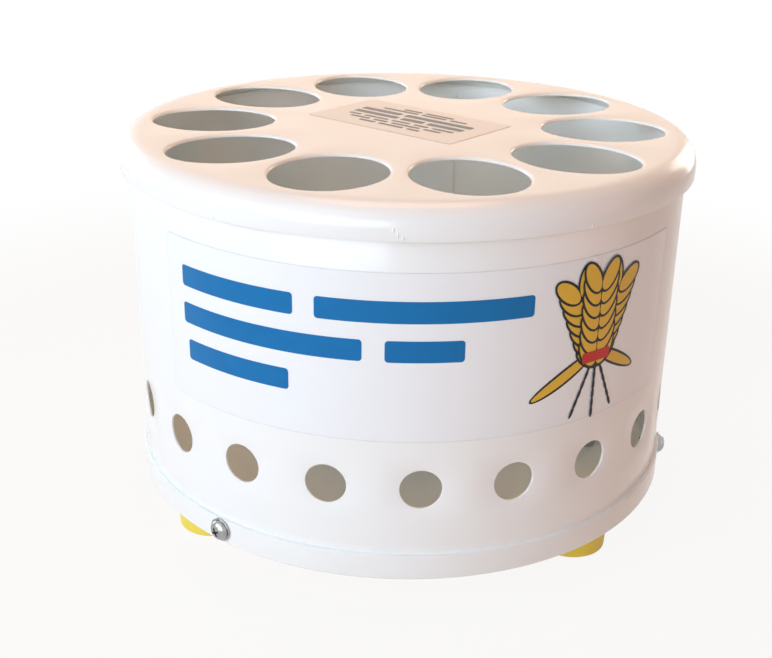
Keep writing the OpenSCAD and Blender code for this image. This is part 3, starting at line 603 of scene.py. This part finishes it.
def domedHead(bm, s, place):
    # a square grid is drawn out to a disc, domed, and its middle cross is pushed in
    r, skirt, rise = s["headDiameter"] / 2, s["headSkirt"], s["headHeight"] - s["headSkirt"]
    before = set(bm.verts)
    made = bmesh.ops.create_grid(bm, x_segments=s["cells"], y_segments=s["cells"], size=1)["verts"]
    faces = list({f for v in made for f in v.link_faces})
    half, reach, taper = s["recessHalf"], s["recessReach"], s["recessTaper"]
    least = math.sqrt(1 - s["dome"])
    cross = []
    for f in faces:
        x, y = map(abs, f.calc_center_median().to_2d())
        if (x < half and y < reach) or (y < half and x < reach):
            cross.append(f)
    for v in made:
        x, y = v.co.x, v.co.y
        u, w = x * math.sqrt(1 - y * y / 2), y * math.sqrt(1 - x * x / 2)
        dome = math.sqrt(max(0.0, 1 - s["dome"] * (u * u + w * w))) - least
        v.co = Vector((u * r, w * r, skirt + rise * dome / (1 - least)))
    edge = [e for f in faces for e in f.edges if e.is_boundary]
    pushLoop(bm, list(set(edge)), Matrix.Translation((0, 0, -skirt)))
    pushed = bmesh.ops.extrude_face_region(bm, geom=cross)["geom"]
    sunk = [g for g in pushed if isinstance(g, bmesh.types.BMVert)]
    bmesh.ops.transform(bm, verts=sunk, matrix=Matrix.Translation((0, 0, -s["recessDepth"]))
                        @ Matrix.Diagonal((taper, taper, 1, 1)))
    bmesh.ops.delete(bm, geom=[f for f in cross if f.is_valid], context="FACES_ONLY")
    new = [v for v in bm.verts if v not in before]
    bmesh.ops.transform(bm, matrix=place, verts=new)


def makePanScrews(s):
    heads, washers = bmesh.new(), bmesh.new()
    soft, n, tip = s["soft"], s["softSteps"], s["tip"]
    outer, hole, thick = s["washerDiameter"] / 2, s["washerHole"] / 2, s["washer"]
    ring = ([(hole, 0), (outer, 0)] + arc((outer - soft, thick - soft), soft, 0, 90, n)
            + arc((hole + soft, thick - soft), soft, 90, 180, n) + [(hole, thick - soft)])
    r, end = s["thread"] / 2, -s["length"]
    shank = [(0, end), (r - tip, end), (r, end + tip), (r, s["sunk"]), (0, s["sunk"])]
    for i in range(s["count"]):
        place = outwardAt(s["first"] + i * 360 / s["count"], panHigh.x, s["height"])
        spinProfile(washers, ring, s["steps"], matrix=place)
        turn = Matrix.Rotation(math.radians(s["firstTurn"] + s["nextTurn"] * i), 4, "Z")
        seat = place @ Matrix.Translation((0, 0, thick)) @ turn
        domedHead(heads, s, seat)
        spinProfile(heads, shank, s["steps"], closed=False, matrix=seat)
    bmesh.ops.recalc_face_normals(heads, faces=heads.faces)
    finishPiece(washers, "pan_screw_washers", "base", zinc, ["pan_washers"], s["washerSharp"])
    finishPiece(heads, "pan_screw_heads", "base", zinc, ["pan_screws"], s["headSharp"])


makePanScrews(panScrewSettings)
print("pan screws made")


# Feet: turned rubber plugs with soft edges and a recess for their screws

footSettings = {
    "nodes": ["foot_front_left", "foot_front_right", "foot_rear"], "baseDiameter": 27.0, "edge": 0.7,
    "recessDiameter": 10.4, "recessDepth": 5.5, "hole": 4.4, "topEdge": 0.5, "steps": 96, "edgeSteps": 6,
}


def makeFoot(s, node):
    low, high = boxInMm(node)
    centre = (low + high) / 2
    top, base, tall = (high.x - low.x) / 2, s["baseDiameter"] / 2, high.z - low.z
    e, t, n = s["edge"], s["topEdge"], s["edgeSteps"]
    profile = ([(s["recessDiameter"] / 2, 0)] + arc((base - e, e), e, -90, 0, n) + [(base, e)]
               + arc((top - t, tall - t), t, 0, 90, n)
               + [(s["hole"] / 2, tall), (s["hole"] / 2, s["recessDepth"]),
                  (s["recessDiameter"] / 2, s["recessDepth"])])
    bm = bmesh.new()
    spinProfile(bm, profile, s["steps"], matrix=Matrix.Translation((centre.x, centre.y, low.z)))
    finishPiece(bm, node + "_rubber", "base", yellowRubber, [node])


for footNode in footSettings["nodes"]:
    makeFoot(footSettings, footNode)
print("feet made")


# Sticker: a wide clear film on the front with plain printed bands and a tied sheaf of grain ears

stickerSettings = {
    "start": -144.0, "end": -34.0, "below": 22.5, "height": 60.0, "stand": 0.12, "corner": 1.5,
    "bandHeight": 7.6, "bandPitch": 13.6, "firstBand": 36.0, "printStand": 0.2, "bandCorner": 1.2,
    "bands": [[(-139, -113.5), (-109.5, -70.5)], [(-139, -101), (-97, -83)], [(-138, -114.5)]],
    "creaseAt": -58.0, "creaseRise": 0.35, "creaseLean": 0.25, "creaseLength": 16.0, "creaseHalf": 1.3,
    "edge": 0.32,
}


def makeStickerFilm(s):
    bm = bmesh.new()
    top = lidTop - s["below"]
    flatPatch(bm, aroundDrum(s["start"]), aroundDrum(s["end"]), top - s["height"], top, s["stand"],
              s["corner"])
    for v in bm.verts:  # one small crease that runs down from the upper edge
        down = top - v.co.z
        off = v.co.x - aroundDrum(s["creaseAt"]) - down * s["creaseLean"]
        fade = max(0.0, 1 - down / s["creaseLength"])
        v.co.y += s["creaseRise"] * fade * math.exp(-(off / s["creaseHalf"]) ** 2)
    # a thin rim round the film is cut off to carry the grey painted shade
    rim = bmesh.ops.inset_region(bm, faces=bm.faces[:], thickness=s["edge"], use_boundary=True)["faces"]
    bm.faces.index_update()
    inRim = {f.index for f in rim}
    edge = bm.copy()
    bmesh.ops.delete(bm, geom=rim, context="FACES")
    bmesh.ops.delete(edge, geom=[f for f in edge.faces if f.index not in inRim], context="FACES")
    finishOnDrum(bm, "sticker_film", film)
    finishOnDrum(edge, "sticker_film_edge", filmEdgeShade)


def makeBands(s):
    bm = bmesh.new()
    for row, parts in enumerate(s["bands"]):
        middle = lidTop - s["firstBand"] - row * s["bandPitch"]
        for start, end in parts:
            flatPatch(bm, aroundDrum(start), aroundDrum(end), middle - s["bandHeight"] / 2,
                      middle + s["bandHeight"] / 2, s["printStand"], s["bandCorner"])
    finishOnDrum(bm, "sticker_bands", blueInk)


earSettings = {
    "centre": -56.0, "below": 57.0, "length": 60.0, "leans": (-23.0, 23.0, 0.0), "grains": 7,
    "grainLength": 12.5, "grainWidth": 6.6, "grainPitch": 4.5, "earStart": 25.0, "splay": 30.0, "spread": 0.6,
    "outline": 0.9, "stalk": 1.3, "stalkPieces": 9, "stalkPitch": 3.5, "stalkLap": 1.3, "footShare": 0.42,
    "leaves": ((-118.0, 30.0, 4.6), (118.0, 24.0, 4.6)), "tie": (4.0, 13.0), "tieCorner": 1.0,
    "stand": 0.24, "layer": 0.016, "cells": 12,
}


def addOval(bm, s, centre, length, width, turn, stand):
    # a grid drawn out to a disc, cut finely enough to follow the drum
    made = bmesh.ops.create_grid(bm, x_segments=s["cells"], y_segments=s["cells"], size=1)["verts"]
    for v in made:
        x, y = v.co.x, v.co.y
        v.co = Vector((x * math.sqrt(1 - y * y / 2), y * math.sqrt(1 - x * x / 2), 0)) / 2
    place = (Matrix.Translation((centre.x, stand, centre.y)) @ Matrix.Rotation(-turn, 4, "Y")
             @ Matrix.Rotation(math.radians(90), 4, "X") @ Matrix.Diagonal((length, width, 1, 1)))
    bmesh.ops.transform(bm, matrix=place, verts=made)


def makeEars(s):
    outline, fill, tie = bmesh.new(), bmesh.new(), bmesh.new()
    middle = Vector((aroundDrum(s["centre"]), lidTop - s["below"]))
    edge, stand = s["outline"], s["stand"]

    def inkedOval(centre, length, width, turn, stand):
        addOval(outline, s, centre, length + edge, width + edge, turn, stand)
        addOval(fill, s, centre, length - edge, width - edge, turn, stand + s["layer"] / 2)

    for lean, length, width in s["leaves"]:
        turn = math.radians(90 - lean)
        along = Vector((math.cos(turn), math.sin(turn)))
        inkedOval(middle + along * length / 2, length, width, turn, stand)
        stand += s["layer"]
    for lean in s["leans"]:
        turn = math.radians(90 - lean)
        along = Vector((math.cos(turn), math.sin(turn)))
        across = Vector((-along.y, along.x))
        foot = middle - along * s["length"] * s["footShare"]
        for i in range(s["stalkPieces"]):
            at = foot + along * (i + 0.5) * s["stalkPitch"]
            addOval(outline, s, at, s["stalkPitch"] * s["stalkLap"], s["stalk"], turn, stand)
        for i in range(s["grains"]):
            at = foot + along * (s["earStart"] + s["grainPitch"] * i)
            stand += s["layer"]
            for hand in (-1, 1):
                grain = at + across * hand * s["grainWidth"] * s["spread"]
                splayed = turn + hand * math.radians(s["splay"])
                inkedOval(grain, s["grainLength"], s["grainWidth"], splayed, stand)
    tall, wide = s["tie"]
    flatPatch(tie, middle.x - wide / 2, middle.x + wide / 2, middle.y - tall, middle.y,
              stand + s["layer"], s["tieCorner"])
    finishOnDrum(outline, "sticker_ear_outlines", blackInk)
    finishOnDrum(fill, "sticker_ear_grains", ochreInk)
    finishOnDrum(tie, "sticker_tie", redInk)


makeStickerFilm(stickerSettings)
makeBands(stickerSettings)
makeEars(earSettings)
print("sticker made")


# Label on the lid: a small paper rectangle with plain ruled lines

labelSettings = {
    "centre": (0.8, 5.5), "turn": -43.0, "long": 71.0, "wide": 39.5, "stand": 0.12, "corner": 1.0,
    "lines": [  # distance below the middle, height, and the lengths of its dashes
        (-13.0, 1.8, (9, 14)), (-10.0, 1.8, (18, 12, 8)), (-5.0, 3.4, (20, 33)), (0.4, 3.4, (22, 11, 17)),
        (5.2, 1.8, (6, 12, 9, 7, 10)), (8.6, 1.8, (10, 7, 14, 8)), (12.0, 1.8, (8, 12, 6))],
    "dashGap": 2.0, "dashCorner": 0.25, "cornerSteps": 4, "printStand": 0.18,
}


def makeLabel(s):
    sheet, ruled = bmesh.new(), bmesh.new()
    place = Matrix.Translation((*s["centre"], lidTop)) @ Matrix.Rotation(math.radians(s["turn"]), 4, "Z")

    def patch(bm, wide, tall, x, y, stand, corner):
        made = bmesh.ops.create_grid(bm, x_segments=1, y_segments=1, size=0.5)["verts"]
        bmesh.ops.transform(bm, verts=made, matrix=place @ Matrix.Translation((x, y, stand))
                            @ Matrix.Diagonal((wide, tall, 1, 1)))
        bmesh.ops.bevel(bm, geom=made, offset=corner, affect="VERTICES", segments=s["cornerSteps"],
                        profile=0.5, material=-1)

    patch(sheet, s["long"], s["wide"], 0, 0, s["stand"], s["corner"])
    for y, tall, dashes in s["lines"]:
        x = -(sum(dashes) + s["dashGap"] * (len(dashes) - 1)) / 2
        for wide in dashes:
            patch(ruled, wide, tall, x + wide / 2, -y, s["printStand"], tall * s["dashCorner"])
            x += wide + s["dashGap"]
    finishPiece(sheet, "lid_label", "lid", paper)
    finishPiece(ruled, "lid_label_lines", "lid", greyInk)


makeLabel(labelSettings)
print("label made")


# Lamp: the bulb's glass and threaded cap are turned again with smooth walls

lampSettings = {
    "globe": 30.0, "wall": 0.8, "neck": 16.0, "lowNeck": 12.35, "inCap": 6.0, "shoulder": (3.0, 12.0),
    "shoulderDrop": 0.8, "capRadius": 13.0, "capWall": 0.5, "collar": 5.0, "threadPitch": 3.6,
    "threadDepth": 0.55, "plainEnds": 9.0, "endLength": 2.5, "endRadius": 10.0, "endHole": 9.6, "lift": 0.2,
    "steps": 96, "globeSteps": 40, "threadSteps": 8,
}
capLow, capHigh = boxInMm("bulb_cap")
glassLow, glassHigh = boxInMm("bulb_glass")
lampHeight = (glassLow.z + glassHigh.z) / 2
capMouth = capLow.x  # the cap's edge round the glass; the lamp points to -X
alongLamp = Matrix.Translation((capMouth, 0, lampHeight)) @ Matrix.Rotation(math.radians(-90), 4, "Y")


def glassOutline(s, wall):
    # from the sealed end in the cap to the end of the globe, as (radius, distance from the cap's mouth)
    globe, centre = s["globe"] - wall, capMouth - glassLow.x - s["globe"]
    neck, low = s["neck"] - wall, s["lowNeck"] - wall
    start, end = s["shoulder"]
    reach = math.hypot(centre - end, neck)
    turn = math.degrees(math.atan2(end - centre, neck)) + math.degrees(math.acos(globe / reach))
    ball = arc((0, centre), globe, turn, 90, s["globeSteps"]) + [(0, centre + globe)]
    return [(low, -s["inCap"]), (low, start), ((low + neck) / 2, (start + end) / 2 - s["shoulderDrop"]),
            (neck, end)] + ball


def makeGlass(s):
    bm = bmesh.new()
    outside, inside = glassOutline(s, 0), glassOutline(s, s["wall"])
    spinProfile(bm, outside + inside[::-1], s["steps"], matrix=alongLamp)
    finishPiece(bm, "bulb_glass_blown", "bulb", clearGlass, ["bulb_glass"])


def makeCap(s):
    # rolled thread drawn as rings, with a plain collar round the glass
    bm = bmesh.new()
    long = capHigh.x - capLow.x
    r, depth, collar = s["capRadius"], s["threadDepth"], s["collar"]
    outside = [(r, 0), (r, -collar)]
    turns = int((long - s["plainEnds"]) / s["threadPitch"])
    for i in range(turns * s["threadSteps"]):
        wave = math.cos(math.tau * i / s["threadSteps"])
        outside.append((r - depth * (1 - wave) / 2, -collar - i * s["threadPitch"] / s["threadSteps"]))
    outside += [(r - depth, s["endLength"] - long), (s["endRadius"], -long)]
    inside = [(max(radius - s["capWall"], s["endHole"]), height + s["lift"])
              for radius, height in outside[::-1]]
    spinProfile(bm, outside + inside, s["steps"], matrix=alongLamp)
    finishPiece(bm, "bulb_cap_rolled", "bulb", capAluminium, ["bulb_cap"])


filamentSettings = {
    "wire": 0.24, "pitch": 0.62, "turnSteps": 10, "sides": 5, "angle": 270.0, "nearStep": 0.1, "sharp": 80,
}


def makeFilament(s):
    # a fine wire wound into a coil along the CAD's bow
    bm = bmesh.new()
    low, high = boxInMm("bulb_filament")
    thick = high.x - low.x
    bow, coil = high.z - lampHeight - thick / 2, (thick - s["wire"]) / 2
    plane = Vector((0, 0, capMouth - (low.x + high.x) / 2))
    sweep = math.radians(s["angle"])
    steps = round(bow * sweep / s["pitch"]) * s["turnSteps"]

    def wireAt(step):
        turn, wind = sweep * (step / steps - 0.5), math.tau * step / s["turnSteps"]
        out = Vector((math.cos(turn), math.sin(turn), 0))
        away = out * math.cos(wind) + Vector((0, 0, math.sin(wind)))
        return plane + out * bow + away * coil, away

    def placeAt(step):
        at, away = wireAt(step)
        ahead = (wireAt(step + s["nearStep"])[0] - wireAt(step - s["nearStep"])[0]).normalized()
        side = ahead.cross(away).normalized()
        turned = Matrix((side.cross(ahead), side, ahead)).transposed().to_4x4()
        return alongLamp @ Matrix.Translation(at) @ turned

    start = bmesh.ops.create_circle(bm, segments=s["sides"], radius=s["wire"] / 2)["verts"]
    loop = bm.edges[:]
    bmesh.ops.transform(bm, matrix=placeAt(0), verts=start)
    for step in range(steps):
        loop = pushLoop(bm, loop, placeAt(step + 1) @ placeAt(step).inverted())
    bmesh.ops.holes_fill(bm, edges=[e for e in bm.edges if e.is_boundary])
    bmesh.ops.recalc_face_normals(bm, faces=bm.faces[:])
    finishPiece(bm, "bulb_filament_coil", "bulb", tungsten, ["bulb_filament"], s["sharp"])


makeGlass(lampSettings)
makeCap(lampSettings)
makeFilament(filamentSettings)
print("lamp made")


# The CAD's own nodes that stay get their finish

nodeFinishes = {
    "pan_nuts": zinc, "foot_screws": zinc, "foot_washers": zinc, "foot_nuts": zinc,
    "cord_grommet": blackRubber, "lamp_bracket": galvanised, "bracket_screws": zinc,
    "bracket_nuts": zinc, "holder_base": ceramic, "holder_sleeve": ceramic, "holder_shell": brass,
    "holder_contact": brass, "holder_posts": brass, "holder_screws": zinc, "bulb_insulator": blackGlass,
    "bulb_contact": solder, "bulb_stem": clearGlass, "bulb_wires": nickel, "terminal_block": polyamide,
    "terminal_sleeves": brass, "terminal_screws": zinc, "block_screw": zinc, "block_nut": zinc,
    "lead_live": brownInsulation, "lead_neutral": blueInsulation,
}
for nodeName, finish in nodeFinishes.items():
    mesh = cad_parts[nodeName].data
    mesh.materials.clear()
    mesh.materials.append(finish)
print("node finishes set:", len(nodeFinishes))


# Floor, world and lamps

stageSettings = {
    "floorSize": 6.0, "floorColour": "#E6DACB", "floorRoughness": 0.9, "floorDrop": 0.2, "nearMm": 260.0,
    "farMm": 500.0, "nearGlow": 0.9, "roomColour": "#F8F0E6", "roomStrength": 0.13, "aimHeight": 90.0,
    "bounces": 12,
    "panels": {  # azimuth, elevation, distance and size in metres, watts and colour
        "window_panel": (203, 25, 1.2, (0.5, 0.5), 3.8, "#E2F1FF"),
        "front_panel": (240, 14, 1.3, (1.0, 0.7), 9.6, "#E2EFFF"),
        "high_window_panel": (230, 44, 1.2, (0.7, 0.7), 1.4, "#EAF3FF"),
        "overhead_warm_panel": (90, 84, 0.5, (0.3, 0.3), 0.9, "#FFBA6C"),
        "back_warm_panel": (90, 24, 1.4, (1.6, 1.0), 2.2, "#FFCC98"),
        "rear_left_panel": (134, 10, 1.3, (0.7, 0.6), 4.6, "#E6F0FF"),
        "rear_right_panel": (48, 10, 1.3, (0.4, 0.6), 3.0, "#F8EFE2"),
        "right_warm_panel": (-24, 10, 1.2, (0.9, 0.7), 1.8, "#FF8A30"),
    },
}


def seenDirectly(tree):
    # 1 for rays from the camera, and for those that mirror or pass through a piece
    path = addNode(tree, "ShaderNodeLightPath")
    either = addNode(tree, "ShaderNodeMath", {"operation": "MAXIMUM"},
                     links={0: path.outputs["Is Camera Ray"], 1: path.outputs["Is Glossy Ray"]})
    return addNode(tree, "ShaderNodeMath", {"operation": "MAXIMUM"},
                   links={0: either.outputs[0], 1: path.outputs["Is Transmission Ray"]})


def makeFloor(s):
    bm = bmesh.new()
    bmesh.ops.create_grid(bm, x_segments=1, y_segments=1, size=s["floorSize"] / 2)
    bmesh.ops.translate(bm, vec=(0, 0, -s["floorDrop"] * mm), verts=bm.verts)
    mesh = bpy.data.meshes.new("studio_floor")
    bm.to_mesh(mesh)
    bm.free()
    # Painted studio floor: matt pale cream that fades to a white backdrop away from the object
    made, tree, shader = startMaterial("matt_cream_floor", s["floorColour"], s["floorRoughness"])
    place = addNode(tree, "ShaderNodeTexCoord")
    reach = addNode(tree, "ShaderNodeVectorMath", {"operation": "LENGTH"},
                    links={0: place.outputs["Object"]})
    fade = addNode(tree, "ShaderNodeMapRange", {"interpolation_type": "SMOOTHSTEP"},
                   {"From Min": s["nearMm"] * mm, "From Max": s["farMm"] * mm, "To Min": s["nearGlow"],
                    "To Max": 1.0}, {"Value": reach.outputs["Value"]})
    share = addNode(tree, "ShaderNodeMath", {"operation": "MULTIPLY"},
                    links={0: fade.outputs["Result"], 1: seenDirectly(tree).outputs[0]})
    glow = addNode(tree, "ShaderNodeEmission", values={"Color": (1, 1, 1, 1), "Strength": 1.0})
    mixed = addNode(tree, "ShaderNodeMixShader", links={0: share.outputs[0], 1: shader.outputs[0],
                                                        2: glow.outputs[0]})
    tree.links.new(mixed.outputs[0], tree.nodes["Material Output"].inputs["Surface"])
    mesh.materials.append(made)
    floor = bpy.data.objects.new("studio_floor", mesh)
    bpy.context.scene.collection.objects.link(floor)
    return floor


def makeWorld(s):
    world = bpy.data.worlds.new("studio_world")
    world.use_nodes = True
    tree = world.node_tree
    room = tree.nodes["Background"]
    room.inputs["Color"].default_value = toLinear(s["roomColour"])
    room.inputs["Strength"].default_value = s["roomStrength"]
    white = addNode(tree, "ShaderNodeBackground", values={"Color": (1, 1, 1, 1), "Strength": 1.0})
    mixed = addNode(tree, "ShaderNodeMixShader", links={0: seenDirectly(tree).outputs[0],
                                                        1: room.outputs[0], 2: white.outputs[0]})
    tree.links.new(mixed.outputs[0], tree.nodes["World Output"].inputs["Surface"])
    bpy.context.scene.world = world


def addPanel(s, name):
    azimuth, elevation, distance, size, power, colour = s["panels"][name]
    turn, rise = math.radians(azimuth), math.radians(elevation)
    target = Vector((0, 0, s["aimHeight"] * mm))
    away = Vector((math.cos(turn) * math.cos(rise), math.sin(turn) * math.cos(rise), math.sin(rise)))
    light = bpy.data.lights.new(name, "AREA")
    light.shape = "RECTANGLE"
    light.size, light.size_y = size
    light.energy = power
    light.color = toLinear(colour)[:3]
    lamp = bpy.data.objects.new(name, light)
    lamp.location = target + away * distance
    lamp.rotation_euler = (-away).to_track_quat("-Z", "Y").to_euler()
    lamp.visible_camera = False
    bpy.context.scene.collection.objects.link(lamp)


makeFloor(stageSettings)
makeWorld(stageSettings)
for panel in stageSettings["panels"]:
    addPanel(stageSettings, panel)


# Camera at the photograph's place

cameraSettings = {
    "place": (-31.0, -451.45, 253.15), "heading": 3.04, "dip": 22.92, "roll": 0.87, "lens": 55.0,
    "sensor": 36.0, "clip": (0.01, 50.0),
}


def makeCamera(s):
    data = bpy.data.cameras.new("camera")
    data.sensor_width = s["sensor"]
    data.lens = s["lens"]
    data.clip_start, data.clip_end = s["clip"]
    camera = bpy.data.objects.new("camera", data)
    turn, dip, roll = (math.radians(s[key]) for key in ("heading", "dip", "roll"))
    ahead = Vector((math.sin(turn) * math.cos(dip), math.cos(turn) * math.cos(dip), -math.sin(dip)))
    right = ahead.cross(Vector((0, 0, 1))).normalized()
    up = right.cross(ahead)
    x = right * math.cos(roll) + up * math.sin(roll)
    y = up * math.cos(roll) - right * math.sin(roll)
    axes = Matrix((x, y, -ahead)).transposed().to_4x4()
    camera.matrix_world = Matrix.Translation(Vector(s["place"]) * mm) @ axes
    bpy.context.scene.collection.objects.link(camera)
    bpy.context.scene.camera = camera


makeCamera(cameraSettings)
bpy.context.scene.view_settings.view_transform = "Standard"
bpy.context.scene.cycles.diffuse_bounces = stageSettings["bounces"]  # light goes on inside a white drum
print("stage, lamps and camera made")

bpy.context.view_layer.update()
